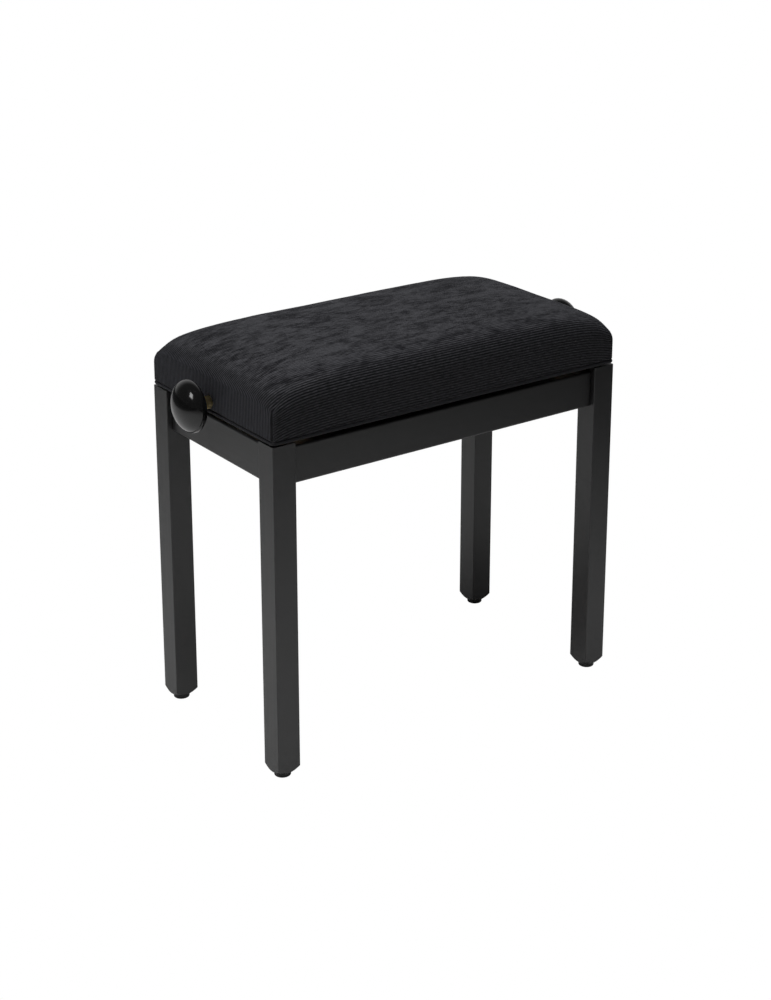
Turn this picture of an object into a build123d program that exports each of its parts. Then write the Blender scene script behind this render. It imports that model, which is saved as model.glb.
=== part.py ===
"""Height-adjustable piano bench: painted beech frame, scissor lift, padded ribbed-velvet seat.

Millimetres, +Z up. The origin is on the floor under the middle of the bench. +X runs along
the long side, towards the right-hand knob, and -Y is the front. The seat is at its lowest.
"""
from build123d import *
from math import asin, cos, degrees, radians, sin, sqrt, tau
import os

# ---- wooden frame
frame_width = 530.0
frame_depth = 280.0
leg_size = 32.0
leg_bottom = 6.0
leg_top = 438.0
leg_edge_round = 1.0
foot_cone_radius = 12.5
foot_cone_rise = 0.84
apron_top = 432
apron_height = 48
apron_thick = 20.0
apron_setback = 7.0
apron_edge_round = 2.5
corner_block_leg = 48.0
corner_block_height = 34.0
corner_bolt_radius = 3.0
bolt_hole_radius = 3.2
washer_radius = 9.0
washer_thick = 1.6
nut_height = 5.0
nut_corner_radius = 5.8
bolt_in_leg = 20.0
glide_radius = 10.5
glide_pin_radius = 3.0
glide_pin_length = 16.0

# ---- seat
seat_overhang = 1.0
seat_bottom = 440.0
piping_diameter = 4.6
cover_thick = 1.5
cover_corner_round = 7.0
cover_top_round = 26
crown_top = 518
crown_rise = 7
seat_rail_bottom = 443.0
board_bottom = 470.0
board_thick = 12.0
board_corner_round = 18
seat_rail_thick = 20.0
wood_gap = 0.5

# ---- scissor lift
arm_length = 300.0
arm_width = 18.0
arm_thick = 3.0
arm_gap = 1.0
rest_angle = 8.0
lift = 90.0
rod_radius = 4.0
rod_fit = 0.06
upper_rod_z = 442.5
channel_width = 23.0
channel_length = 368
steel_thick = 2.5
base_channel_bottom = 386.5
base_channel_height = 40
seat_channel_height = 35.0
channel_inset = 27.0
slot_slack = 0.4
linkage_slack = 1.6
nut_slack = 4.2

# ---- spindle and knobs
spindle_z = 455.5
spindle_radius = 5.0
thread_lead = 3.0
nut_fit = 0.08
nut_size = (38.0, 22.0, 28.0)
bush_radius = 7.5
collar_radius = 8.0
collar_length = 9.0
knob_radius = 33.0
knob_front = 19.0
knob_back = 15.0
knob_plane = 293.0
knob_neck_radius = 11.0

# ---- screws
screw_radius = 2.2
screw_head_radius = 4.2
screw_head_height = 2.6
screw_length = 14.0
screw_line_z = base_channel_bottom + 16.0
screw_columns = (-120, 0, 120)
frame_screw_columns = (-200, 0, 200)
frame_screw_recess = 5
frame_screw_head = 3
frame_screw_bite = 8

# ---- worked out from the above
half_w = frame_width / 2
half_d = frame_depth / 2
inner_x = half_w - apron_setback - apron_thick
inner_y = half_d - apron_setback - apron_thick
lower_rod_z = upper_rod_z - arm_length * sin(radians(rest_angle))
raised_angle = degrees(asin((upper_rod_z - lower_rod_z + lift) / arm_length))
rod_x = arm_length * cos(radians(rest_angle)) / 2
rod_travel = 2 * rod_x - arm_length * cos(radians(raised_angle))
channel_outer_y = half_d - channel_inset
channel_inner_y = channel_outer_y - channel_width
arm_a_y = channel_inner_y + steel_thick + 0.5 + arm_thick / 2
arm_b_y = arm_a_y + arm_thick + arm_gap
rod_end_y = arm_b_y + arm_thick / 2 + 3.0
seat_half_w = half_w + seat_overhang
seat_half_d = half_d + seat_overhang
rail_half_w = seat_half_w - cover_thick - wood_gap
rail_half_d = seat_half_d - cover_thick - wood_gap
board_top = board_bottom + board_thick

CORNERS = {
    "front_left": (-1, -1),
    "front_right": (1, -1),
    "rear_left": (-1, 1),
    "rear_right": (1, 1),
}
LONG_SIDES = {"front": -1, "rear": 1}
SHORT_SIDES = {"left": -1, "right": 1}


def block(x0, x1, y0, y1, z0, z1):
    """A plain box between two corners."""
    size = (abs(x1 - x0), abs(y1 - y0), abs(z1 - z0))
    return Pos((x0 + x1) / 2, (y0 + y1) / 2, (z0 + z1) / 2) * Box(*size)


def rod_along_y(x, z, y0, y1, radius):
    """A round bar parallel to Y."""
    return Pos(x, (y0 + y1) / 2, z) * Rot(90, 0, 0) * Cylinder(radius, abs(y1 - y0))


def rod_along_x(x0, x1, z, radius):
    """A round bar parallel to X, on the bench's middle line."""
    return Pos((x0 + x1) / 2, 0, z) * Rot(0, 90, 0) * Cylinder(radius, abs(x1 - x0))


def rod_along_z(x, y, z0, z1, radius):
    """A round bar parallel to Z."""
    return Pos(x, y, (z0 + z1) / 2) * Cylinder(radius, z1 - z0)


def toward_corner(sx, sy, along, z):
    """A place on the diagonal through a leg's inner corner; the local +Z runs into the leg."""
    x = sx * (half_w - leg_size + along / sqrt(2))
    y = sy * (half_d - leg_size + along / sqrt(2))
    return Plane(origin=(x, y, z), z_dir=(sx, sy, 0))


def leg(sx, sy):
    """Square leg whose foot is turned to a cone, with holes for the bolt and the glide."""
    length = leg_top - leg_bottom
    x = sx * (half_w - leg_size / 2)
    y = sy * (half_d - leg_size / 2)
    post = Box(leg_size, leg_size, length)
    post = fillet(post.edges().filter_by(Axis.Z), leg_edge_round)
    post = Pos(x, y, leg_bottom + length / 2) * post
    top_radius = foot_cone_radius + length / foot_cone_rise
    cone = Cone(foot_cone_radius, top_radius, length)
    post = post & (Pos(x, y, leg_bottom + length / 2) * cone)
    bolt_z = apron_top - apron_height / 2
    hole = toward_corner(sx, sy, bolt_in_leg / 2 - 2, bolt_z) * Cylinder(bolt_hole_radius, bolt_in_leg + 6)
    pin_hole = Pos(x, y, leg_bottom + glide_pin_length / 2) * Cylinder(glide_pin_radius, glide_pin_length)
    return post - hole - pin_hole


def rounded_apron(size, face_axis, outward):
    """A rail whose four outer edges are rounded, so that it meets the legs in a small groove."""
    rail = Box(*size)
    outer = rail.faces().sort_by(face_axis)[-1 if outward > 0 else 0]
    return fillet(outer.edges(), apron_edge_round)


def long_apron(sy):
    length = frame_width - 2 * leg_size
    rail = rounded_apron((length, apron_thick, apron_height), Axis.Y, sy)
    rail = Pos(0, sy * (inner_y + apron_thick / 2), apron_top - apron_height / 2) * rail
    for x in screw_columns:
        rail -= rod_along_y(x, screw_line_z, sy * (inner_y - 1), sy * (inner_y + screw_length), screw_radius)
    return rail


def short_apron(sx):
    length = frame_depth - 2 * leg_size
    rail = rounded_apron((apron_thick, length, apron_height), Axis.X, sx)
    return Pos(sx * (inner_x + apron_thick / 2), 0, apron_top - apron_height / 2) * rail


def corner_block(sx, sy):
    """Triangular glue block, notched round the leg and drilled for the bolt."""
    leg_x = half_w - leg_size
    leg_y = half_d - leg_size
    outline = [
        (sx * leg_x, sy * inner_y),
        (sx * (leg_x - corner_block_leg), sy * inner_y),
        (sx * inner_x, sy * (leg_y - corner_block_leg)),
        (sx * inner_x, sy * leg_y),
        (sx * leg_x, sy * leg_y),
    ]
    middle = apron_top - apron_height / 2
    plan = make_face(Polyline(*outline, close=True))
    solid = extrude(Pos(0, 0, middle - corner_block_height / 2) * plan, corner_block_height, dir=(0, 0, 1))
    hole = toward_corner(sx, sy, -20, middle) * Cylinder(bolt_hole_radius, 90)
    return solid - hole


def block_face_distance():
    """How far the block's long face is from the leg's inner corner, along the diagonal."""
    leg_x = half_w - leg_size
    leg_y = half_d - leg_size
    return (leg_x + leg_y - (leg_x - corner_block_leg) - inner_y) / sqrt(2)


def corner_hardware(kind):
    """The four bolts, washers or nuts that pull the legs to the corner blocks."""
    middle = apron_top - apron_height / 2
    face = block_face_distance()
    pieces = []
    for sx, sy in CORNERS.values():
        if kind == "bolt":
            start, end = -face - 12, bolt_in_leg
            solid = Cylinder(corner_bolt_radius, end - start)
        elif kind == "washer":
            start, end = -face - washer_thick, -face
            solid = Cylinder(washer_radius, washer_thick) - Cylinder(corner_bolt_radius, washer_thick)
        else:
            start, end = -face - washer_thick - nut_height, -face - washer_thick
            solid = extrude(RegularPolygon(nut_corner_radius, 6), nut_height / 2, both=True)
            solid -= Cylinder(corner_bolt_radius, nut_height)
        pieces.append(toward_corner(sx, sy, (start + end) / 2, middle) * solid)
    return Compound(children=pieces)


def foot_glide(sx, sy):
    """Plastic glide with its moulded pin."""
    disc = Cylinder(glide_radius, leg_bottom)
    disc = fillet(disc.edges().sort_by(Axis.Z)[0], 1.2)
    x = sx * (half_w - leg_size / 2)
    y = sy * (half_d - leg_size / 2)
    pin = Pos(x, y, leg_bottom + glide_pin_length / 2) * Cylinder(glide_pin_radius, glide_pin_length)
    return Pos(x, y, leg_bottom / 2) * disc + pin


def slot_cutter(x0, x1, z0, z1, y):
    """A slot through a channel's inner flange, from its end lines and its height."""
    return block(x0, x1, y - 6, y + 6, z0, z1)


def channel(sy, z0, z1, web_at_top):
    """Folded steel channel that carries one side of the scissor arms."""
    outer = block(-channel_length / 2, channel_length / 2, sy * channel_inner_y, sy * channel_outer_y, z0, z1)
    y0 = sy * (channel_inner_y + steel_thick)
    y1 = sy * (channel_outer_y - steel_thick)
    low, high = (z0 - 1, z1 - steel_thick) if web_at_top else (z0 + steel_thick, z1 + 1)
    return outer - block(-channel_length, channel_length, y0, y1, low, high)


def base_channel(sy):
    """Lower channel, open at the top, screwed to the long apron."""
    z0 = base_channel_bottom
    solid = channel(sy, z0, z0 + base_channel_height, False)
    y = sy * (channel_inner_y + steel_thick / 2)
    reach = rod_radius + slot_slack
    solid -= rod_along_y(-rod_x, lower_rod_z, y - 5, y + 5, rod_radius)
    low = lower_rod_z - reach - linkage_slack
    solid -= slot_cutter(rod_x - rod_travel - reach, rod_x + reach, low, lower_rod_z + reach, y)
    for x in screw_columns:
        y_wall = sy * (channel_outer_y - steel_thick / 2)
        solid -= rod_along_y(x, screw_line_z, y_wall - 5, y_wall + 5, screw_radius)
    return solid


def seat_channel(sy):
    """Upper channel, open at the bottom, screwed up into the seat board."""
    solid = channel(sy, board_bottom - seat_channel_height, board_bottom, True)
    y = sy * (channel_inner_y + steel_thick / 2)
    reach = rod_radius + slot_slack
    solid -= rod_along_y(-rod_x, upper_rod_z, y - 5, y + 5, rod_radius)
    high = upper_rod_z + reach + linkage_slack
    solid -= slot_cutter(rod_x - rod_travel - reach, rod_x + reach, upper_rod_z - reach, high, y)
    for x in screw_columns:
        y_mid = sy * (channel_inner_y + channel_outer_y) / 2
        solid -= Pos(x, y_mid, board_bottom) * Cylinder(screw_radius, 20)
    return solid


def pan_screw():
    """Pan-head wood screw: the head's underside is at the origin and the shank runs up +Z."""
    head = Pos(0, 0, -screw_head_height / 2) * Cylinder(screw_head_radius, screw_head_height)
    head = fillet(head.edges().sort_by(Axis.Z)[0], 1.2)
    shank = Pos(0, 0, screw_length / 2) * Cylinder(screw_radius, screw_length)
    return head + shank


def base_channel_screws():
    pieces = []
    for sy in LONG_SIDES.values():
        for x in screw_columns:
            head_face = sy * (channel_outer_y - steel_thick)
            place = Plane(origin=(x, head_face, screw_line_z), z_dir=(0, sy, 0))
            pieces.append(place * pan_screw())
    return Compound(children=pieces)


def seat_channel_screws():
    pieces = []
    for sy in LONG_SIDES.values():
        for x in screw_columns:
            y_mid = sy * (channel_inner_y + channel_outer_y) / 2
            pieces.append(Pos(x, y_mid, board_bottom - steel_thick) * pan_screw())
    return Compound(children=pieces)


def seat_frame_screw_places():
    """Three screws under each long seat rail."""
    y = rail_half_d - seat_rail_thick / 2
    return [(x, sy * y) for x in frame_screw_columns for sy in (-1, 1)]


def seat_frame_screws():
    """Long screws from under the seat rails up into the board, with their heads let in."""
    pieces = []
    for x, y in seat_frame_screw_places():
        z = seat_rail_bottom + frame_screw_recess
        head = rod_along_z(x, y, z - frame_screw_head, z, screw_head_radius)
        shank = rod_along_z(x, y, z, board_bottom + frame_screw_bite, screw_radius)
        pieces.append(head + shank)
    return Compound(children=pieces)


def drill_for_frame_screws(solid):
    """Screw holes from below, with a wider recess for each head."""
    for x, y in seat_frame_screw_places():
        recess_top = seat_rail_bottom + frame_screw_recess
        solid -= rod_along_z(x, y, seat_rail_bottom - 1, recess_top, screw_head_radius)
        solid -= rod_along_z(x, y, recess_top, board_bottom + frame_screw_bite, screw_radius)
    return solid


def seat_woodwork(bottom, top):
    """The outline of the seat's wooden parts, with its upright corners eased for the fabric."""
    plan = RectangleRounded(2 * rail_half_w, 2 * rail_half_d, cover_corner_round - cover_thick - wood_gap)
    return extrude(Pos(0, 0, bottom) * plan, top - bottom, dir=(0, 0, 1))


def seat_long_rail(sy):
    y1 = sy * rail_half_d
    y0 = sy * (rail_half_d - seat_rail_thick)
    strip = block(-rail_half_w, rail_half_w, y0, y1, seat_rail_bottom, board_bottom)
    return drill_for_frame_screws(seat_woodwork(seat_rail_bottom, board_bottom) & strip)


def seat_short_rail(sx):
    """Short seat rail, bored for the spindle's bush."""
    x0 = sx * (rail_half_w - seat_rail_thick)
    y1 = rail_half_d - seat_rail_thick
    rail = block(x0, sx * rail_half_w, -y1, y1, seat_rail_bottom, board_bottom)
    return rail - rod_along_x(-half_w * 2, half_w * 2, spindle_z, bush_radius)


def seat_board():
    """Plywood board under the foam, round at its corners, drilled for the channel and rail screws."""
    plan = RectangleRounded(2 * rail_half_w, 2 * rail_half_d, board_corner_round)
    board = extrude(Pos(0, 0, board_bottom) * plan, board_thick, dir=(0, 0, 1))
    for sy in LONG_SIDES.values():
        for x in screw_columns:
            y_mid = sy * (channel_inner_y + channel_outer_y) / 2
            top = board_bottom - steel_thick + screw_length
            board -= rod_along_z(x, y_mid, board_bottom - 1, top, screw_radius)
    return drill_for_frame_screws(board)


def crowned_outline(half, bottom, top):
    """Upright sides, round shoulders and a low crown, in a view's own two axes."""
    shoulder = cover_top_round
    corner_z = top - crown_rise - shoulder
    lean = shoulder * (1 - sqrt(0.5))
    sides = Polyline((-half, corner_z), (-half, bottom), (half, bottom), (half, corner_z))
    right = ThreePointArc(
        (half, corner_z),
        (half - lean, corner_z + shoulder - lean),
        (half - shoulder, corner_z + shoulder),
    )
    crown = ThreePointArc((half - shoulder, corner_z + shoulder), (0, top), (shoulder - half, corner_z + shoulder))
    left = ThreePointArc(
        (shoulder - half, corner_z + shoulder),
        (lean - half, corner_z + shoulder - lean),
        (-half, corner_z),
    )
    return make_face([sides, right, crown, left])


def crowned_form(inset, bottom):
    """The cushion's outer form, drawn in by an inset."""
    half_x = seat_half_w - inset
    half_y = seat_half_d - inset
    top = crown_top - inset
    plan = RectangleRounded(2 * half_x, 2 * half_y, cover_corner_round - inset)
    form = extrude(Pos(0, 0, bottom) * plan, top - bottom + 1, dir=(0, 0, 1))
    form = form & extrude(Plane.XZ * crowned_outline(half_x, bottom, top), half_y + 5, both=True)
    return form & extrude(Plane.YZ * crowned_outline(half_y, bottom, top), half_x + 5, both=True)


def seat_cover():
    """Ribbed velvet drawn over foam, board and rails."""
    bottom = seat_bottom + piping_diameter
    outer = crowned_form(0, bottom)
    inner = crowned_form(cover_thick, bottom - 5)
    cover = outer - inner
    for sx in SHORT_SIDES.values():
        cover -= rod_along_x(sx * (half_w - 5), sx * (half_w + 5), spindle_z, collar_radius + 0.5)
    return cover


def seat_foam():
    """Foam pad between the board and the cover."""
    above = block(-half_w * 2, half_w * 2, -half_d * 2, half_d * 2, board_top, crown_top + 10)
    return crowned_form(cover_thick, seat_bottom) & above


def seat_piping():
    """Fabric-covered cord along the lower edge of the cover."""
    radius = piping_diameter / 2
    width = 2 * (seat_half_w - radius)
    depth = 2 * (seat_half_d - radius)
    corner = cover_corner_round - radius
    z = seat_bottom + radius
    route = Pos(0, 0, z) * RectangleRounded(width, depth, corner)
    section = Plane(origin=(0, -depth / 2, z), z_dir=(1, 0, 0)) * Circle(radius)
    rail_hole = crowned_form(cover_thick + wood_gap, seat_bottom - 5)
    return sweep(section, path=route.wire()) - rail_hole


def arm(y, rising):
    """Flat steel arm with rounded ends; rising arms climb towards +X at rest."""
    bar = SlotCenterToCenter(arm_length, arm_width)
    bar = extrude(bar, arm_thick / 2, both=True)
    tilt = rest_angle if rising else -rest_angle
    z_mid = (upper_rod_z + lower_rod_z) / 2
    bar = Pos(0, y, z_mid) * Rot(0, -tilt, 0) * Rot(90, 0, 0) * bar
    low_x, high_x = (-rod_x, rod_x) if rising else (rod_x, -rod_x)
    turning_x = low_x if rising else high_x
    for x, z in ((low_x, lower_rod_z), (high_x, upper_rod_z)):
        fit = rod_fit if x == turning_x else 0
        bar -= rod_along_y(x, z, y - 5, y + 5, rod_radius + fit)
    centre_radius = rod_radius if rising else rod_radius + linkage_slack + 0.3
    bar -= rod_along_y(0, z_mid, y - 5, y + 5, centre_radius)
    return bar


def centre_pin(sy):
    """Headed pin where two arms cross, fast in the inner arm."""
    z_mid = (upper_rod_z + lower_rod_z) / 2
    inner = sy * (arm_a_y - arm_thick / 2 - 0.3)
    outer = sy * (arm_b_y + arm_thick / 2 + 1.0)
    shank = rod_along_y(0, z_mid, inner, outer, rod_radius)
    head = rod_along_y(0, z_mid, outer, outer + sy * 2.0, rod_radius + 4.5)
    return shank + head


def cross_rod(x, z):
    """Steel rod that joins the front and the rear arms."""
    return rod_along_y(x, z, -rod_end_y, rod_end_y, rod_radius)


def rod_clips(places):
    """Spring clips on the rods' ends, outside the arms."""
    pieces = []
    for x, z in places:
        for sy in LONG_SIDES.values():
            y = sy * (rod_end_y - 1.5)
            ring = rod_along_y(x, z, y - 0.5, y + 0.5, rod_radius + 2)
            pieces.append(ring - rod_along_y(x, z, y - 2, y + 2, rod_radius))
    return Compound(children=pieces)


def spindle():
    """Trapezoidal-thread spindle; its thread is left to the finish."""
    end = knob_plane + 8
    return rod_along_x(-end, end, spindle_z, spindle_radius)


def spindle_bush(sx):
    """Brass bush in the short seat rail."""
    x0 = sx * (rail_half_w - seat_rail_thick)
    x1 = sx * rail_half_w
    return rod_along_x(x0, x1, spindle_z, bush_radius) - rod_along_x(x0, x1, spindle_z, spindle_radius + rod_fit)


def spindle_collar(sx):
    """Brass collar between the seat and the knob."""
    x0 = sx * (rail_half_w + 0.1)
    x1 = x0 + sx * (seat_overhang + cover_thick + collar_length)
    solid = rod_along_x(x0, x1, spindle_z, collar_radius)
    solid = chamfer(solid.edges().sort_by(Axis.X)[-1 if sx > 0 else 0], 0.8)
    return solid - rod_along_x(x0, x1, spindle_z, spindle_radius)


def knob(sx):
    """Turned bun-shaped knob, glossy black, pushed on the spindle's end."""
    front = EllipticalCenterArc((0, 0), knob_front, knob_radius, start_angle=0, arc_size=90)
    back = EllipticalCenterArc((0, 0), knob_back, knob_radius, start_angle=90, arc_size=90)
    axis_line = Line((-knob_back, 0), (knob_front, 0))
    body = revolve(make_face([front, back, axis_line]), Axis.X, 360)
    collar_end = rail_half_w + 0.1 + seat_overhang + cover_thick + collar_length
    neck_length = knob_plane - collar_end
    neck = Pos(-neck_length / 2, 0, 0) * Rot(0, 90, 0) * Cylinder(knob_neck_radius, neck_length)
    body = body + neck
    if sx < 0:
        body = mirror(body, Plane.YZ)
    body = Pos(sx * knob_plane, 0, spindle_z) * body
    return body - rod_along_x(-knob_plane - 8, knob_plane + 8, spindle_z, spindle_radius)


def spindle_nut():
    """Steel nut block: threaded on the spindle, with a slot that drives the upper sliding rod."""
    length, width, height = nut_size
    x_mid = rod_x + 2
    top = spindle_z + spindle_radius + 4
    solid = block(x_mid - length / 2, x_mid + length / 2, -width / 2, width / 2, top - height, top)
    solid = chamfer(solid.edges().filter_by(Axis.Y), 2)
    solid -= rod_along_x(x_mid - length, x_mid + length, spindle_z, spindle_radius + nut_fit)
    reach = rod_radius + slot_slack
    high = upper_rod_z + reach + linkage_slack
    return solid - block(rod_x - reach, rod_x + reach + nut_slack, -width, width, upper_rod_z - reach, high)


def build_all():
    """Every node of the bench, by name."""
    nodes = {}
    for name, (sx, sy) in CORNERS.items():
        nodes[f"leg_{name}"] = leg(sx, sy)
        nodes[f"corner_block_{name}"] = corner_block(sx, sy)
        nodes[f"foot_glide_{name}"] = foot_glide(sx, sy)
    for name, sy in LONG_SIDES.items():
        nodes[f"apron_{name}"] = long_apron(sy)
        nodes[f"base_channel_{name}"] = base_channel(sy)
        nodes[f"seat_channel_{name}"] = seat_channel(sy)
        nodes[f"seat_rail_{name}"] = seat_long_rail(sy)
        nodes[f"lift_arm_inner_{name}"] = arm(sy * arm_a_y, True)
        nodes[f"lift_arm_outer_{name}"] = arm(sy * arm_b_y, False)
        nodes[f"arm_centre_pin_{name}"] = centre_pin(sy)
    for name, sx in SHORT_SIDES.items():
        nodes[f"apron_{name}"] = short_apron(sx)
        nodes[f"seat_rail_{name}"] = seat_short_rail(sx)
        nodes[f"spindle_bush_{name}"] = spindle_bush(sx)
        nodes[f"spindle_collar_{name}"] = spindle_collar(sx)
        nodes[f"knob_{name}"] = knob(sx)
    nodes["corner_bolts"] = corner_hardware("bolt")
    nodes["corner_washers"] = corner_hardware("washer")
    nodes["corner_nuts"] = corner_hardware("nut")
    nodes["base_channel_screws"] = base_channel_screws()
    nodes["seat_channel_screws"] = seat_channel_screws()
    nodes["seat_frame_screws"] = seat_frame_screws()
    nodes["base_pivot_rod"] = cross_rod(-rod_x, lower_rod_z)
    nodes["seat_pivot_rod"] = cross_rod(-rod_x, upper_rod_z)
    nodes["base_slide_rod"] = cross_rod(rod_x, lower_rod_z)
    nodes["seat_slide_rod"] = cross_rod(rod_x, upper_rod_z)
    nodes["base_pivot_clips"] = rod_clips([(-rod_x, lower_rod_z)])
    nodes["seat_pivot_clips"] = rod_clips([(-rod_x, upper_rod_z)])
    nodes["base_slide_clips"] = rod_clips([(rod_x, lower_rod_z)])
    nodes["seat_slide_clips"] = rod_clips([(rod_x, upper_rod_z)])
    nodes["seat_board"] = seat_board()
    nodes["seat_foam"] = seat_foam()
    nodes["seat_cover"] = seat_cover()
    nodes["seat_piping"] = seat_piping()
    nodes["spindle"] = spindle()
    nodes["spindle_nut"] = spindle_nut()
    return nodes


os.makedirs("parts", exist_ok=True)
for node_name, solid in build_all().items():
    export_step(solid, f"parts/{node_name}.step")

print("pivot x", round(rod_x, 3), "lower rod z", round(lower_rod_z, 3), "upper rod z", upper_rod_z)
print("arm angle", rest_angle, "to", round(raised_angle, 4), "degrees; nut travel", round(rod_travel, 3))
print("spindle turns", round(rod_travel / thread_lead, 4), "radians", round(tau * rod_travel / thread_lead, 4))
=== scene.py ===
from math import cos, exp, hypot, pi, radians, sin, tau

import bmesh
import bpy
from mathutils import Matrix, Vector, noise


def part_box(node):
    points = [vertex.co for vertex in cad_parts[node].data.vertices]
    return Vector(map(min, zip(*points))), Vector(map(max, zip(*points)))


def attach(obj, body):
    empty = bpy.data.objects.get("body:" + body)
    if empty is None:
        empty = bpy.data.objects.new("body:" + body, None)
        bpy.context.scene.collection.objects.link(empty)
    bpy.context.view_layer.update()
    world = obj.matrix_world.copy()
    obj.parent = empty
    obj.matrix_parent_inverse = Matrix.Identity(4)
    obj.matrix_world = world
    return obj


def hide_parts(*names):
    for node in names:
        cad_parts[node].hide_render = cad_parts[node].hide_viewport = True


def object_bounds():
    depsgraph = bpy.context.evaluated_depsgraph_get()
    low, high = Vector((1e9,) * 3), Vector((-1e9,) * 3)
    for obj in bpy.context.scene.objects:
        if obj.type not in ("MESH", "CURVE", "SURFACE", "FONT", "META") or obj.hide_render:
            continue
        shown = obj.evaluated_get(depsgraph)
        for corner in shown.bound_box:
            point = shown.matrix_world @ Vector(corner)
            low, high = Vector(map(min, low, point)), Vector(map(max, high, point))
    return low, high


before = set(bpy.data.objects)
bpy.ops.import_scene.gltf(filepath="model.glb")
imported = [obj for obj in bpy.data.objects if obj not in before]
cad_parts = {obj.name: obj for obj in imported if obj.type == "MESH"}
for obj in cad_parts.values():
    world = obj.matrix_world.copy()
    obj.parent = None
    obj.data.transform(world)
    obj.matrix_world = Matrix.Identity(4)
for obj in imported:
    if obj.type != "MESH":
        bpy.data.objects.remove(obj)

cad_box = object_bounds()
box_low, box_high = Vector(cad_box[0]), Vector(cad_box[1])
bench_middle = (box_low + box_high) / 2


# ---- Camera
# A long lens at a standing person's eye, from the front left corner, a little above the
# seat. The lens is shifted down so that the legs stay nearly upright.
camera_azimuth = radians(-35.8)
camera_elevation = radians(17.15)
camera_distance = 2.536
aim = bench_middle + Vector((0.039, 0.058, 0.2305))
backward = Vector((
    sin(camera_azimuth) * cos(camera_elevation),
    -cos(camera_azimuth) * cos(camera_elevation),
    sin(camera_elevation),
))
camera_data = bpy.data.cameras.new("camera")
camera_data.lens = 69.25
camera_data.sensor_width = 36
camera_data.shift_y = -0.18
camera = bpy.data.objects.new("camera", camera_data)
camera.location = aim + camera_distance * backward
camera.rotation_euler = backward.to_track_quat("Z", "Y").to_euler()
bpy.context.collection.objects.link(camera)
bpy.context.scene.camera = camera
bpy.context.scene.view_settings.view_transform = "Standard"


# ---- Studio
# A white sweep fills the view. A softbox stands high on the left, and a wide one hangs
# overhead, kept out of the gloss. White paper, laid wider on the left, lights the legs from below.
def soft_box(name, width, height, watts, place, target):
    light = bpy.data.lights.new(name, "AREA")
    light.shape = "RECTANGLE"
    light.size = width
    light.size_y = height
    light.energy = watts
    lamp = bpy.data.objects.new(name, light)
    lamp.location = place
    lamp.rotation_euler = (Vector(place) - Vector(target)).to_track_quat("Z", "Y").to_euler()
    bpy.context.collection.objects.link(lamp)
    return lamp


soft_box("left_softbox", 0.50, 0.60, 8, (-1.61, -0.17, 1.54), (-0.1, 0, 0.4))
overhead = soft_box("overhead_softbox", 1.3, 1.1, 36, (-0.45, -0.25, 2.2), (0, 0, 0.4))
overhead.visible_glossy = False


def shader(name):
    """A new material, its Principled shader, and short ways to add nodes and join them."""
    material = bpy.data.materials.new(name)
    material.use_nodes = True
    return material, material.node_tree.nodes["Principled BSDF"], *node_tools(material.node_tree)


def node_tools(tree):
    def add(kind, **settings):
        node = tree.nodes.new("ShaderNode" + kind)
        for key, value in settings.items():
            if key in node.inputs:
                node.inputs[key].default_value = value
            else:
                setattr(node, key, value)
        return node

    return add, tree.links.new


def span(add, source, target, **settings):
    """A Map Range node from one (low, high) pair to another."""
    node = add("MapRange", **settings)
    for side, (low, high) in (("From", source), ("To", target)):
        node.inputs[f"{side} Min"].default_value = low
        node.inputs[f"{side} Max"].default_value = high
    return node


strip_along = Vector((sin(-camera_azimuth), cos(camera_azimuth), 0))
strip_across = Vector((strip_along.y, -strip_along.x, 0))

world = bpy.data.worlds.new("room")
world.use_nodes = True
add, join = node_tools(world.node_tree)
direction = add("TexCoord")
towards_backdrop = add("VectorMath", operation="DOT_PRODUCT")
towards_backdrop.inputs[1].default_value = strip_along
backdrop = span(add, (0.35, 0.8), (0.07, 0.55), interpolation_type="SMOOTHSTEP")
seen_or_felt = add("LightPath")
glow = add("MixRGB")
glow.inputs["Color2"].default_value = (1, 1, 1, 1)
join(direction.outputs["Generated"], towards_backdrop.inputs[0])
join(towards_backdrop.outputs["Value"], backdrop.inputs["Value"])
join(seen_or_felt.outputs["Is Camera Ray"], glow.inputs["Fac"])
join(backdrop.outputs["Result"], glow.inputs["Color1"])
join(glow.outputs["Color"], world.node_tree.nodes["Background"].inputs["Color"])
bpy.context.scene.world = world


def floor_sheet(name, material, height):
    shape = bmesh.new()
    bmesh.ops.create_circle(shape, cap_ends=True, segments=96, radius=30,
                            matrix=Matrix.Translation((0, 0, height)))
    mesh = bpy.data.meshes.new(name)
    shape.to_mesh(mesh)
    shape.free()
    mesh.materials.append(material)
    sheet = bpy.data.objects.new(name, mesh)
    bpy.context.collection.objects.link(sheet)
    return sheet


white_floor, floor_shader, add, join = shader("white_floor")
floor_shader.inputs["Base Color"].default_value = (0, 0, 0, 1)
floor_shader.inputs["Specular IOR Level"].default_value = 0.0
floor_shader.inputs["Emission Color"].default_value = (1, 1, 1, 1)
floor_shader.inputs["Emission Strength"].default_value = 1.0
floor = floor_sheet("floor", white_floor, 0)
floor.visible_diffuse = False
floor.visible_glossy = False
floor.visible_shadow = False

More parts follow.
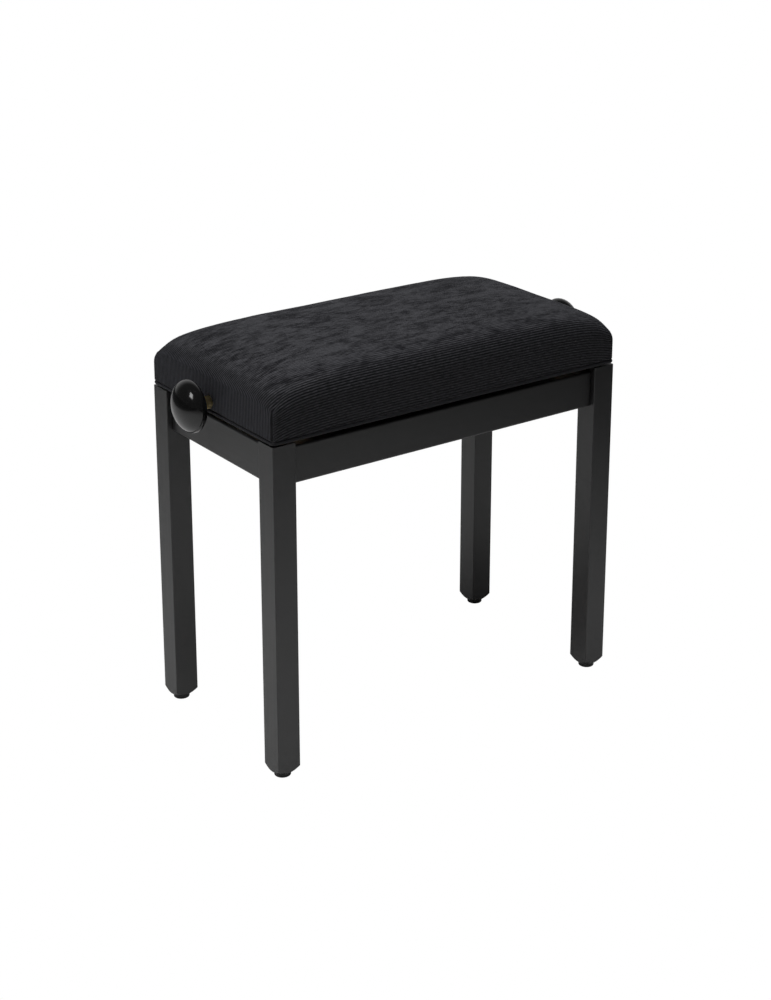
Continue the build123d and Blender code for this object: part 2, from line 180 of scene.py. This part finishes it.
strip_middle = -0.40
strip_edge = 1.40
strip_softness = 0.20
paper_strip, strip_shader, add, join = shader("paper_strip")
strip_place = add("TexCoord")
from_middle = add("VectorMath", operation="DOT_PRODUCT")
from_middle.inputs[1].default_value = strip_across
off_middle = add("Math", operation="SUBTRACT")
off_middle.inputs[1].default_value = strip_middle
distance = add("Math", operation="ABSOLUTE")
strip_paper = span(add, (strip_edge - strip_softness, strip_edge + strip_softness), (0.90, 0.15),
                   interpolation_type="SMOOTHSTEP")
join(strip_place.outputs["Object"], from_middle.inputs[0])
join(from_middle.outputs["Value"], off_middle.inputs[0])
join(off_middle.outputs[0], distance.inputs[0])
join(distance.outputs[0], strip_paper.inputs["Value"])
join(strip_paper.outputs["Result"], strip_shader.inputs["Base Color"])
strip_shader.inputs["Roughness"].default_value = 1.0
strip_shader.inputs["Specular IOR Level"].default_value = 0.0
reflector = floor_sheet("paper_reflector", paper_strip, -0.001)
reflector.visible_camera = False


# ---- Painted frame
# Beech legs and aprons, sprayed with a satin black lacquer thin enough for the grain to
# show as faint lengthwise ripples. The legs' feet are turned to a cone on the lathe.
def give(material, names):
    """Put one material on CAD nodes."""
    for name in names:
        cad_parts[name].data.materials.clear()
        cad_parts[name].data.materials.append(material)


def lacquered_beech(name, grain_scale):
    """Satin black lacquer over a grain that runs along the axis with the smallest scale."""
    material, principled, add, join = shader(name)
    place = add("TexCoord")
    stretch = add("Mapping")
    stretch.inputs["Scale"].default_value = grain_scale
    grain = add("TexNoise", Scale=1.0, Detail=5.0, Roughness=0.6)
    spray = add("TexNoise", Scale=900.0, Detail=2.0, Roughness=0.5)
    grain_bump = add("Bump", Strength=0.10, Distance=0.0006)
    spray_bump = add("Bump", Strength=0.05, Distance=0.0002)
    sheen_range = span(add, (0, 1), (0.36, 0.48))
    tone = add("ValToRGB")
    tone.color_ramp.elements[0].color = (0.0070, 0.0070, 0.0074, 1)
    tone.color_ramp.elements[1].color = (0.0105, 0.0105, 0.0110, 1)
    join(place.outputs["Object"], stretch.inputs["Vector"])
    join(stretch.outputs["Vector"], grain.inputs["Vector"])
    join(place.outputs["Object"], spray.inputs["Vector"])
    join(grain.outputs["Fac"], grain_bump.inputs["Height"])
    join(spray.outputs["Fac"], spray_bump.inputs["Height"])
    join(grain_bump.outputs["Normal"], spray_bump.inputs["Normal"])
    join(spray_bump.outputs["Normal"], principled.inputs["Normal"])
    join(grain.outputs["Fac"], sheen_range.inputs["Value"])
    join(sheen_range.outputs["Result"], principled.inputs["Roughness"])
    join(grain.outputs["Fac"], tone.inputs["Fac"])
    join(tone.outputs["Color"], principled.inputs["Base Color"])
    principled.inputs["Specular IOR Level"].default_value = 0.58
    return material


corner_names = ("front_left", "front_right", "rear_left", "rear_right")
leg_lacquer = lacquered_beech("lacquered_leg", (260, 260, 9))
give(leg_lacquer, [f"leg_{corner}" for corner in corner_names])
give(leg_lacquer, [f"corner_block_{corner}" for corner in corner_names])
give(lacquered_beech("lacquered_long_apron", (9, 260, 260)), ["apron_front", "apron_rear"])
give(lacquered_beech("lacquered_short_apron", (260, 9, 260)), ["apron_left", "apron_right"])


# ---- Foot glides
# Moulded black plastic buttons, pushed into the leg ends. Their wear faces are slightly rough.
def moulded_plastic(name, roughness):
    material, principled, add, join = shader(name)
    place = add("TexCoord")
    grain = add("TexNoise", Scale=2200.0, Detail=3.0)
    bump = add("Bump", Strength=0.15, Distance=0.0002)
    join(place.outputs["Object"], grain.inputs["Vector"])
    join(grain.outputs["Fac"], bump.inputs["Height"])
    join(bump.outputs["Normal"], principled.inputs["Normal"])
    principled.inputs["Base Color"].default_value = (0.008, 0.008, 0.008, 1)
    principled.inputs["Roughness"].default_value = roughness
    principled.inputs["Specular IOR Level"].default_value = 0.4
    return material


give(moulded_plastic("glide_plastic", 0.45), [f"foot_glide_{corner}" for corner in corner_names])


# ---- Seat woodwork
# Beech rails stained black, so that nothing pale shows in the gap under the cushion, and a
# bare birch plywood board with round corners, screwed to them, that carries the foam.
def bare_wood(name, grain_scale, pale, dark):
    material, principled, add, join = shader(name)
    place = add("TexCoord")
    stretch = add("Mapping")
    stretch.inputs["Scale"].default_value = grain_scale
    grain = add("TexNoise", Scale=1.0, Detail=6.0, Roughness=0.62, Distortion=0.6)
    tone = add("ValToRGB")
    tone.color_ramp.elements[0].position = 0.35
    tone.color_ramp.elements[0].color = (*dark, 1)
    tone.color_ramp.elements[1].position = 0.65
    tone.color_ramp.elements[1].color = (*pale, 1)
    bump = add("Bump", Strength=0.2, Distance=0.0004)
    join(place.outputs["Object"], stretch.inputs["Vector"])
    join(stretch.outputs["Vector"], grain.inputs["Vector"])
    join(grain.outputs["Fac"], tone.inputs["Fac"])
    join(tone.outputs["Color"], principled.inputs["Base Color"])
    join(grain.outputs["Fac"], bump.inputs["Height"])
    join(bump.outputs["Normal"], principled.inputs["Normal"])
    principled.inputs["Roughness"].default_value = 0.62
    return material


stain_pale, stain_dark = (0.012, 0.011, 0.0105), (0.007, 0.0065, 0.006)
give(bare_wood("stained_long_rail", (5, 90, 90), stain_pale, stain_dark),
     ["seat_rail_front", "seat_rail_rear"])
give(bare_wood("stained_short_rail", (90, 5, 90), stain_pale, stain_dark),
     ["seat_rail_left", "seat_rail_right"])
give(bare_wood("birch_plywood", (6, 60, 700), (0.62, 0.47, 0.31), (0.44, 0.31, 0.19)), ["seat_board"])


# ---- Steelwork
# Folded channels and flat scissor arms in black powder coat. Rods, pins, clips, screws,
# bolts and the nut block are zinc plated.
def powder_coated_steel():
    material, principled, add, join = shader("powder_coat")
    place = add("TexCoord")
    orange_peel = add("TexNoise", Scale=1100.0, Detail=2.0)
    bump = add("Bump", Strength=0.22, Distance=0.0003)
    join(place.outputs["Object"], orange_peel.inputs["Vector"])
    join(orange_peel.outputs["Fac"], bump.inputs["Height"])
    join(bump.outputs["Normal"], principled.inputs["Normal"])
    principled.inputs["Base Color"].default_value = (0.014, 0.014, 0.015, 1)
    principled.inputs["Roughness"].default_value = 0.42
    return material


def plated_metal(name, colour, low_roughness, high_roughness):
    """Metal whose polish varies a little, as turned and plated parts do."""
    material, principled, add, join = shader(name)
    place = add("TexCoord")
    cloud = add("TexNoise", Scale=140.0, Detail=4.0)
    polish = span(add, (0, 1), (low_roughness, high_roughness))
    join(place.outputs["Object"], cloud.inputs["Vector"])
    join(cloud.outputs["Fac"], polish.inputs["Value"])
    join(polish.outputs["Result"], principled.inputs["Roughness"])
    principled.inputs["Base Color"].default_value = (*colour, 1)
    principled.inputs["Metallic"].default_value = 1.0
    return material


side_names = ("front", "rear")
black_steel = powder_coated_steel()
zinc = plated_metal("zinc_plate", (0.62, 0.62, 0.60), 0.22, 0.42)
give(black_steel, [f"{kind}_{side}" for side in side_names for kind in
                   ("base_channel", "seat_channel", "lift_arm_inner", "lift_arm_outer")])
give(zinc, [f"arm_centre_pin_{side}" for side in side_names])
give(zinc, [f"{place}_{kind}" for kind in ("rod", "clips") for place in
            ("base_pivot", "seat_pivot", "base_slide", "seat_slide")])
give(zinc, ["corner_bolts", "corner_washers", "corner_nuts", "base_channel_screws",
            "seat_channel_screws", "seat_frame_screws", "spindle_nut"])


# ---- Spindle
# A steel bar with a rolled trapezoidal thread between the bushes and plain ends for the
# knobs. The thread turns in the nut block.
def link(name, shape, material, smooth=True):
    """Make an object of a finished shape, with its faces turned outwards."""
    bmesh.ops.recalc_face_normals(shape, faces=shape.faces)
    mesh = bpy.data.meshes.new(name)
    shape.to_mesh(mesh)
    shape.free()
    for polygon in mesh.polygons:
        polygon.use_smooth = smooth
    mesh.materials.append(material)
    piece = bpy.data.objects.new(name, mesh)
    bpy.context.collection.objects.link(piece)
    return piece


def wire(shape, points):
    """A chain of edges through the points."""
    corners = [shape.verts.new(point) for point in points]
    return [shape.edges.new(pair) for pair in zip(corners, corners[1:])]


def turned(shape, points, centre, segments):
    """Turn a profile, given as (along X, radius) pairs, round a line parallel to X."""
    chain = wire(shape, [centre + Vector((along, 0, radius)) for along, radius in points])
    geometry = chain + list({corner for edge in chain for corner in edge.verts})
    bmesh.ops.spin(shape, geom=geometry, cent=centre, axis=(1, 0, 0), angle=tau,
                   steps=segments, use_merge=True, use_duplicate=False)
    bmesh.ops.remove_doubles(shape, verts=shape.verts, dist=1e-6)


spindle_low, spindle_high = (Vector(corner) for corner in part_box("spindle"))
spindle_centre = (spindle_low + spindle_high) / 2
spindle_radius = (spindle_high.z - spindle_low.z) / 2
thread_lead = 0.003
thread_depth = 0.0014
thread_turns = 158
thread_steps = 16
thread_end = thread_lead * thread_turns / 2
spindle_end = (spindle_high.x - spindle_low.x) / 2

spindle_shape = bmesh.new()
for outward in (-1, 1):
    turned(spindle_shape, [
        (outward * spindle_end, 0.0),
        (outward * spindle_end, spindle_radius - 0.001),
        (outward * (spindle_end - 0.001), spindle_radius),
        (outward * (thread_end + 0.002), spindle_radius),
        (outward * (thread_end - 0.004), spindle_radius - thread_depth),
        (outward * (thread_end - 0.004), 0.0),
    ], spindle_centre, 32)
crest = spindle_radius - 0.0001
root = spindle_radius - thread_depth
thread_profile = [(0, root), (0.2, root), (0.4, crest), (0.8, crest), (1, root)]
thread_start = spindle_centre + Vector((-thread_end, 0, 0))
thread_chain = wire(spindle_shape, [thread_start + Vector((along * thread_lead, 0, radius))
                                    for along, radius in thread_profile])
bmesh.ops.spin(
    spindle_shape, geom=thread_chain + list({corner for edge in thread_chain for corner in edge.verts}),
    cent=thread_start, axis=(1, 0, 0), dvec=(thread_lead / thread_steps, 0, 0),
    angle=tau * (thread_turns - 1), steps=thread_steps * (thread_turns - 1), use_duplicate=False)
bmesh.ops.remove_doubles(spindle_shape, verts=spindle_shape.verts, dist=2e-6)
spindle = link("threaded_spindle", spindle_shape, zinc)
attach(spindle, "spindle_and_knobs")
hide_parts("spindle")


# ---- Brass collars and bushes
# Turned brass: a bush pressed in each short seat rail, and a collar with a broken edge
# between the seat and the knob.
brass = plated_metal("turned_brass", (0.91, 0.74, 0.38), 0.28, 0.45)
give(brass, [f"{kind}_{side}" for kind in ("spindle_bush", "spindle_collar") for side in ("left", "right")])


# ---- Knobs
# Bun-shaped hardwood knobs, turned on a lathe, filled and finished in gloss black lacquer.
# Each is pushed on the spindle's plain end; the back is hollowed round a short neck.
def gloss_lacquer():
    material, principled, add, join = shader("gloss_lacquer")
    place = add("TexCoord")
    ripple = add("TexNoise", Scale=60.0, Detail=1.0)
    bump = add("Bump", Strength=0.02, Distance=0.0008)
    join(place.outputs["Object"], ripple.inputs["Vector"])
    join(ripple.outputs["Fac"], bump.inputs["Height"])
    join(bump.outputs["Normal"], principled.inputs["Normal"])
    principled.inputs["Base Color"].default_value = (0.004, 0.004, 0.004, 1)
    principled.inputs["Roughness"].default_value = 0.16
    principled.inputs["Specular IOR Level"].default_value = 0.3
    principled.inputs["Coat Weight"].default_value = 0.3
    principled.inputs["Coat Roughness"].default_value = 0.05
    return material


knob_lacquer = gloss_lacquer()
for side, outward in (("left", -1), ("right", 1)):
    low, high = (Vector(corner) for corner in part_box(f"knob_{side}"))
    knob_radius = (high.z - low.z) / 2
    knob_length = high.x - low.x
    front_depth = 0.019
    inner_end = low.x if outward > 0 else high.x
    widest = inner_end + outward * (knob_length - front_depth)
    rim_depth = 0.012
    neck_radius = 0.011
    neck_length = knob_length - front_depth
    profile = [(outward * front_depth * cos(angle), knob_radius * sin(angle))
               for angle in (radians(6 * step) for step in range(16))]
    profile[0] = (outward * front_depth, 0.0)
    profile += [(-outward * rim_depth * sin(angle),
                 knob_radius - (knob_radius - neck_radius) * (1 - cos(angle)))
                for angle in (radians(9 * step) for step in range(1, 11))]
    profile += [(-outward * (neck_length - 0.001), neck_radius),
                (-outward * neck_length, neck_radius - 0.001),
                (-outward * neck_length, 0.0)]
    knob_shape = bmesh.new()
    turned(knob_shape, profile, Vector((widest, spindle_centre.y, spindle_centre.z)), 96)
    knob = link(f"lacquered_knob_{side}", knob_shape, knob_lacquer)
    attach(knob, "spindle_and_knobs")
    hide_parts(f"knob_{side}")


# ---- Seat cover
# Fine ribbed black velvet over a domed pad, its ribs along the bench. It is drawn down over
# all four sides, sewn at the upright corners, and its nap is crushed in patches on top.
rib_pitch = 0.0034
rib_depth = 0.00042
rows_per_rib = 4
wall_top = 0.4855
end_fullness = 5.8
side_fullness = 5.8
dome_softness = 1.80
corner_round = 0.007
waist = 0.0014
seam_depth = 0.0018
corner_drop = 0.0045
corner_reach = 0.020
corner_pull = 0.004
settled_depth = 0.022
flat_rib_loss = 0.7
seam_top_fade = 0.012
crush_depth = 0.0007
hem_height = 0.0022
hem_depth = 0.0022
diagonal = 0.7
seam_width = 0.0016

cover_low, cover_high = (Vector(corner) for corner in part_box("seat_cover"))
half_long, half_short = cover_high.x, cover_high.y
dome_rise = cover_high.z - wall_top
wall_length = wall_top - cover_low.z


def dome(a, b):
    """Height of the pad above its upright walls, at a place measured from -1 to 1 each way."""
    fullness = max(0.0, 1 - abs(a) ** end_fullness) * max(0.0, 1 - abs(b) ** side_fullness)
    return dome_rise * fullness ** (1 / dome_softness)


def even_cloth_rows():
    """Places across the seat, from its middle to its edge, that lie a rib's share apart on the cloth."""
    steps = 6000
    places = [sin(pi / 2 * step / steps) for step in range(steps + 1)]
    run = [0.0]
    for near, far in zip(places, places[1:]):
        run.append(run[-1] + hypot((far - near) * half_short, dome(0, far) - dome(0, near)))
    rows = round(run[-1] / rib_pitch * rows_per_rib)
    found, step = [], 0
    for row in range(rows + 1):
        wanted = run[-1] * row / rows
        while step < steps and run[step + 1] < wanted:
            step += 1
        span = run[min(step + 1, steps)] - run[step]
        share = (wanted - run[step]) / span if span else 0.0
        found.append(places[step] + share * (places[min(step + 1, steps)] - places[step]))
    found[-1] = 1.0
    return found


def rounded_plan(x, y, half_x, half_y, radius):
    """Draw a point on a rectangle's outline in to the same outline with round corners."""
    core = Vector((max(-half_x + radius, min(half_x - radius, x)),
                   max(-half_y + radius, min(half_y - radius, y))))
    away = Vector((x, y)) - core
    if abs(away.x) > 1e-9 and abs(away.y) > 1e-9:
        return core + away.normalized() * radius
    return Vector((x, y))


def settled(point):
    """Let a point of the pad sink and round over near an upper corner, where the stuffing is thin."""
    corner = Vector((half_long if point.x > 0 else -half_long,
                     half_short if point.y > 0 else -half_short))
    away = corner - point.xy
    share = exp(-(away.length / corner_reach) ** 2)
    top_share = max(0.0, min(1.0, 1 - (wall_top - point.z) / settled_depth))
    inward = corner_pull * share * top_share ** 4
    return Vector((
        point.x - inward * (diagonal if point.x > 0 else -diagonal),
        point.y - inward * (diagonal if point.y > 0 else -diagonal),
        point.z - corner_drop * share * top_share ** 2 * (3 - 2 * top_share),
    ))


cloth_rows = even_cloth_rows()
long_columns = 100
cover_shape = bmesh.new()
bmesh.ops.create_grid(cover_shape, x_segments=long_columns, y_segments=2 * (len(cloth_rows) - 1), size=1)

columns = {}
for vertex in cover_shape.verts:
    columns.setdefault(round(vertex.co.x * long_columns / 2), []).append(vertex)
cloth_run = {}
for column in columns.values():
    column.sort(key=lambda vertex: vertex.co.y)
    middle = len(column) // 2
    for row, vertex in enumerate(column):
        a = sin(pi / 2 * vertex.co.x)
        b = cloth_rows[abs(row - middle)] * (1 if row > middle else -1)
        ring = max(abs(a), abs(b), 1e-6)
        plan = rounded_plan(a * half_long, b * half_short, ring * half_long, ring * half_short,
                            corner_round * ring)
        vertex.co = (plan.x, plan.y, wall_top + dome(a, b))
    for side in (column[middle:], column[middle::-1]):
        cloth_run[side[0]] = 0.0
        for near, far in zip(side, side[1:]):
            step = hypot(far.co.y - near.co.y, far.co.z - near.co.z)
            cloth_run[far] = cloth_run[near] + (step if far.co.y > 0 else -step)

rim_run = {(round(vertex.co.x, 6), round(vertex.co.y, 6)): cloth_run[vertex]
           for vertex in cover_shape.verts if vertex.is_boundary}
rim_edges = [edge for edge in cover_shape.edges if edge.is_boundary]
top_faces = set(cover_shape.faces)
wall_rows = round(wall_length / rib_pitch * rows_per_rib)
for _ in range(wall_rows):
    grown = bmesh.ops.extrude_edge_only(cover_shape, edges=rim_edges)["geom"]
    bmesh.ops.translate(cover_shape, vec=(0, 0, -wall_length / wall_rows),
                        verts=[part for part in grown if isinstance(part, bmesh.types.BMVert)])
    rim_edges = [part for part in grown if isinstance(part, bmesh.types.BMEdge)]

cloth_map = cover_shape.loops.layers.uv.new("cloth")
across_ribs = {}
for face in cover_shape.faces:
    middle = face.calc_center_median()
    at_end = half_long - abs(middle.x) < half_short - abs(middle.y)
    for corner in face.loops:
        vertex = corner.vert
        along, fall = vertex.co.x, wall_top - vertex.co.z
        if face in top_faces:
            across = cloth_run[vertex]
        else:
            across = rim_run[(round(vertex.co.x, 6), round(vertex.co.y, 6))]
            if at_end:
                along += fall if along > 0 else -fall
            else:
                across += fall if across > 0 else -fall
        corner[cloth_map].uv = (along, across)
        across_ribs[vertex] = across

bmesh.ops.recalc_face_normals(cover_shape, faces=cover_shape.faces)
cover_shape.normal_update()
for vertex in cover_shape.verts:
    x, y, z = vertex.co
    flattened = 1 - flat_rib_loss * max(0.0, min(1.0, (vertex.normal.z - 0.80) / 0.17))
    depth = rib_depth * flattened * (0.5 - 0.5 * cos(tau * across_ribs[vertex] / rib_pitch))
    from_seam = abs((half_long - abs(x)) - (half_short - abs(y)))
    on_corner = half_long - abs(x) < 0.02 and half_short - abs(y) < 0.02
    if on_corner:
        reach = max(0.0, 1 - max(0.0, z - wall_top) / seam_top_fade)
        depth += seam_depth * reach * 2.718 ** (-(from_seam / seam_width) ** 2)
    crushed = max(0.0, min(1.0, (z - wall_top) / dome_rise * 1.4 - 0.4))
    depth += crushed * crush_depth * (0.5 + noise.fractal(Vector((x * 13, y * 34, 2.0)), 1.0, 2.0, 3))
    hem = max(0.0, 1 - (z - cover_low.z) / hem_height)
    depth += hem_depth * hem ** 2
    vertex.co -= vertex.normal * depth
    drawn_in = waist * (1 - (x / half_long) ** 2) * max(0.0, min(1.0, (abs(y) / half_short - 0.9) * 10))
    vertex.co.y -= drawn_in if y > 0 else -drawn_in
    vertex.co = settled(vertex.co)

for inward, upward in ((0.0012, 0.0), (0.0, 0.003)):
    grown = bmesh.ops.extrude_edge_only(cover_shape, edges=rim_edges)["geom"]
    for part in grown:
        if isinstance(part, bmesh.types.BMVert):
            part.co.x *= 1 - inward / half_long
            part.co.y *= 1 - inward / half_short
            part.co.z += upward
    rim_edges = [part for part in grown if isinstance(part, bmesh.types.BMEdge)]


def ribbed_velvet(name, ribs):
    """Black velvet: dark ground, soft rim sheen, crushed patches, and ribs along the cloth map. Upward
    faces carry painted light (lighter than the walls), and the ribs carry painted shade in the grooves and
    painted highlights on the crests.
    """
    material, principled, add, join = shader(name)
    place = add("TexCoord")
    patches = add("Mapping")
    patches.inputs["Scale"].default_value = (22, 60, 50)
    streaks = add("Mapping")
    streaks.inputs["Scale"].default_value = (90, 330, 260)
    crushed = add("TexNoise", Scale=1.0, Detail=5.0, Roughness=0.62, Distortion=0.5)
    brushed = add("TexNoise", Scale=1.0, Detail=3.0, Roughness=0.6)
    mixed = add("MixRGB", Fac=0.50)
    tone = add("ValToRGB")
    tone.color_ramp.elements[0].position = 0.41
    tone.color_ramp.elements[0].color = (0.0028, 0.0028, 0.0033, 1)
    tone.color_ramp.elements[1].position = 0.57
    tone.color_ramp.elements[1].color = (0.0310, 0.0310, 0.0338, 1)
    # Upward faces get the mottled tone, lighter overall than the walls' flat dark tone: painted light on
    # the top and painted shade on the walls. Within the top, the mottle is the crushed nap's random tone.
    upward = add("SeparateXYZ")
    level = span(add, (0.78, 0.98), (0, 1), interpolation_type="SMOOTHSTEP")
    painted_top_light = add("MixRGB")
    painted_top_light.inputs["Color1"].default_value = (0.0098, 0.0098, 0.0107, 1)
    fuzz = add("TexNoise", Scale=1400.0, Detail=2.0)
    fuzz_bump = add("Bump", Strength=0.35, Distance=0.0004)
    join(place.outputs["Object"], patches.inputs["Vector"])
    join(place.outputs["Object"], streaks.inputs["Vector"])
    join(patches.outputs["Vector"], crushed.inputs["Vector"])
    join(streaks.outputs["Vector"], brushed.inputs["Vector"])
    join(crushed.outputs["Fac"], mixed.inputs["Color1"])
    join(brushed.outputs["Fac"], mixed.inputs["Color2"])
    join(mixed.outputs["Color"], tone.inputs["Fac"])
    join(place.outputs["Object"], fuzz.inputs["Vector"])
    join(fuzz.outputs["Fac"], fuzz_bump.inputs["Height"])
    join(place.outputs["Normal"], upward.inputs[0])
    join(upward.outputs["Z"], level.inputs["Value"])
    join(level.outputs["Result"], painted_top_light.inputs["Fac"])
    join(tone.outputs["Color"], painted_top_light.inputs["Color2"])
    ground = painted_top_light.outputs["Color"]
    if ribs:
        # Rib colour: the wave paints shade into each groove and a highlight on each crest, broken into
        # dashes by noise, and weaker on the top and on the end walls.
        across = add("SeparateXYZ")
        phase = add("Math", operation="MULTIPLY")
        phase.inputs[1].default_value = tau / rib_pitch
        wave = add("Math", operation="COSINE")
        painted_rib_light = span(add, (-1, 1), (0.12, 2.5))
        dashes = add("Mapping")
        dashes.inputs["Scale"].default_value = (150, 1 / rib_pitch, 1)
        rib_light_breakup = add("TexNoise", Scale=1.0, Detail=2.0, Roughness=0.7)
        broken = span(add, (0.35, 0.65), (0.45, 1.45))
        dashed = add("Math", operation="MULTIPLY")
        on_end = add("Math", operation="ABSOLUTE")
        end_share = span(add, (0.4, 0.9), (1.0, 0.45))
        drawn = add("Math", operation="MULTIPLY")
        rib_share = span(add, (0, 1), (1.0, 0.22))
        shade = add("MixRGB", blend_type="MULTIPLY")
        join(level.outputs["Result"], rib_share.inputs["Value"])
        join(upward.outputs["X"], on_end.inputs[0])
        join(on_end.outputs[0], end_share.inputs["Value"])
        join(rib_share.outputs["Result"], drawn.inputs[0])
        join(end_share.outputs["Result"], drawn.inputs[1])
        join(drawn.outputs[0], shade.inputs["Fac"])
        join(place.outputs["UV"], dashes.inputs["Vector"])
        join(dashes.outputs["Vector"], rib_light_breakup.inputs["Vector"])
        join(rib_light_breakup.outputs["Fac"], broken.inputs["Value"])
        join(broken.outputs["Result"], dashed.inputs[1])
        rib_bump = add("Bump", Strength=0.5, Distance=0.0005)
        join(place.outputs["UV"], across.inputs[0])
        join(across.outputs["Y"], phase.inputs[0])
        join(phase.outputs[0], wave.inputs[0])
        join(wave.outputs[0], painted_rib_light.inputs["Value"])
        join(ground, shade.inputs["Color1"])
        join(painted_rib_light.outputs["Result"], dashed.inputs[0])
        join(dashed.outputs[0], shade.inputs["Color2"])
        join(wave.outputs[0], rib_bump.inputs["Height"])
        join(rib_bump.outputs["Normal"], fuzz_bump.inputs["Normal"])
        ground = shade.outputs["Color"]
    join(ground, principled.inputs["Base Color"])
    join(fuzz_bump.outputs["Normal"], principled.inputs["Normal"])
    principled.inputs["Roughness"].default_value = 0.8
    principled.inputs["Specular IOR Level"].default_value = 0.25
    principled.inputs["Sheen Weight"].default_value = 0.05
    principled.inputs["Sheen Roughness"].default_value = 0.5
    principled.inputs["Sheen Tint"].default_value = (0.75, 0.78, 1.0, 1)
    return material


cover = link("velvet_cover", cover_shape, ribbed_velvet("ribbed_velvet", True))
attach(cover, "seat")
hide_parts("seat_cover")


# ---- Foam
# A domed pad of cut foam between the board and the cover, a few millimetres inside the
# velvet all round. It is out of sight.
def cut_foam():
    material, principled, add, join = shader("cut_foam")
    place = add("TexCoord")
    cells = add("TexVoronoi", Scale=700.0)
    bump = add("Bump", Strength=0.5, Distance=0.0006)
    join(place.outputs["Object"], cells.inputs["Vector"])
    join(cells.outputs["Distance"], bump.inputs["Height"])
    join(bump.outputs["Normal"], principled.inputs["Normal"])
    principled.inputs["Base Color"].default_value = (0.70, 0.66, 0.50, 1)
    principled.inputs["Roughness"].default_value = 0.95
    return material


foam_inset = 0.004
foam_corner_round = 0.020
foam_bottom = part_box("seat_foam")[0][2]
foam_shape = bmesh.new()
bmesh.ops.create_grid(foam_shape, x_segments=48, y_segments=32, size=1)
for vertex in foam_shape.verts:
    a, b = sin(pi / 2 * vertex.co.x), sin(pi / 2 * vertex.co.y)
    ring = max(abs(a), abs(b), 1e-6)
    plan = rounded_plan(a * (half_long - foam_inset), b * (half_short - foam_inset),
                        ring * (half_long - foam_inset), ring * (half_short - foam_inset),
                        foam_corner_round * ring)
    vertex.co = settled(Vector((plan.x, plan.y, wall_top + dome(a, b) - foam_inset)))
foam_edges = [edge for edge in foam_shape.edges if edge.is_boundary]
grown = bmesh.ops.extrude_edge_only(foam_shape, edges=foam_edges)["geom"]
for part in grown:
    if isinstance(part, bmesh.types.BMVert):
        part.co.z = foam_bottom
bmesh.ops.contextual_create(
    foam_shape, geom=[part for part in grown if isinstance(part, bmesh.types.BMEdge)])
foam = link("foam_pad", foam_shape, cut_foam())
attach(foam, "seat")
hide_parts("seat_foam")


# ---- Piping
# A cord covered in the same velvet, sewn all round the cover's lower edge.
piping_low, piping_high = (Vector(corner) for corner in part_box("seat_piping"))
piping_radius = 0.0023
piping_corner = 0.0047
piping_height = piping_low.z + piping_radius
straight_x = piping_high.x - piping_radius - piping_corner
straight_y = piping_high.y - piping_radius - piping_corner

piping_shape = bmesh.new()
end_ring = bmesh.ops.create_circle(
    piping_shape, segments=14, radius=piping_radius,
    matrix=Matrix.Translation((-straight_x, -straight_y - piping_corner, piping_height))
    @ Matrix.Rotation(pi / 2, 4, "Y"))
ring_edges = list({edge for vertex in end_ring["verts"] for edge in vertex.link_edges})
corners = ((straight_x, -straight_y), (straight_x, straight_y),
           (-straight_x, straight_y), (-straight_x, -straight_y))
runs = ((2 * straight_x, 0), (0, 2 * straight_y), (-2 * straight_x, 0), (0, -2 * straight_y))
for (corner_x, corner_y), (run_x, run_y) in zip(corners, runs):
    grown = bmesh.ops.extrude_edge_only(piping_shape, edges=ring_edges)["geom"]
    bmesh.ops.translate(piping_shape, vec=(run_x, run_y, 0),
                        verts=[part for part in grown if isinstance(part, bmesh.types.BMVert)])
    ring_edges = [part for part in grown if isinstance(part, bmesh.types.BMEdge)]
    ring_verts = list({vertex for edge in ring_edges for vertex in edge.verts})
    swung = bmesh.ops.spin(
        piping_shape, geom=ring_edges + ring_verts, cent=(corner_x, corner_y, piping_height),
        axis=(0, 0, 1), angle=pi / 2, steps=8, use_duplicate=False)["geom_last"]
    ring_edges = [part for part in swung if isinstance(part, bmesh.types.BMEdge)]
bmesh.ops.remove_doubles(piping_shape, verts=piping_shape.verts, dist=1e-5)
piping = link("velvet_piping", piping_shape, ribbed_velvet("piping_velvet", False))
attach(piping, "seat")
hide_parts("seat_piping")
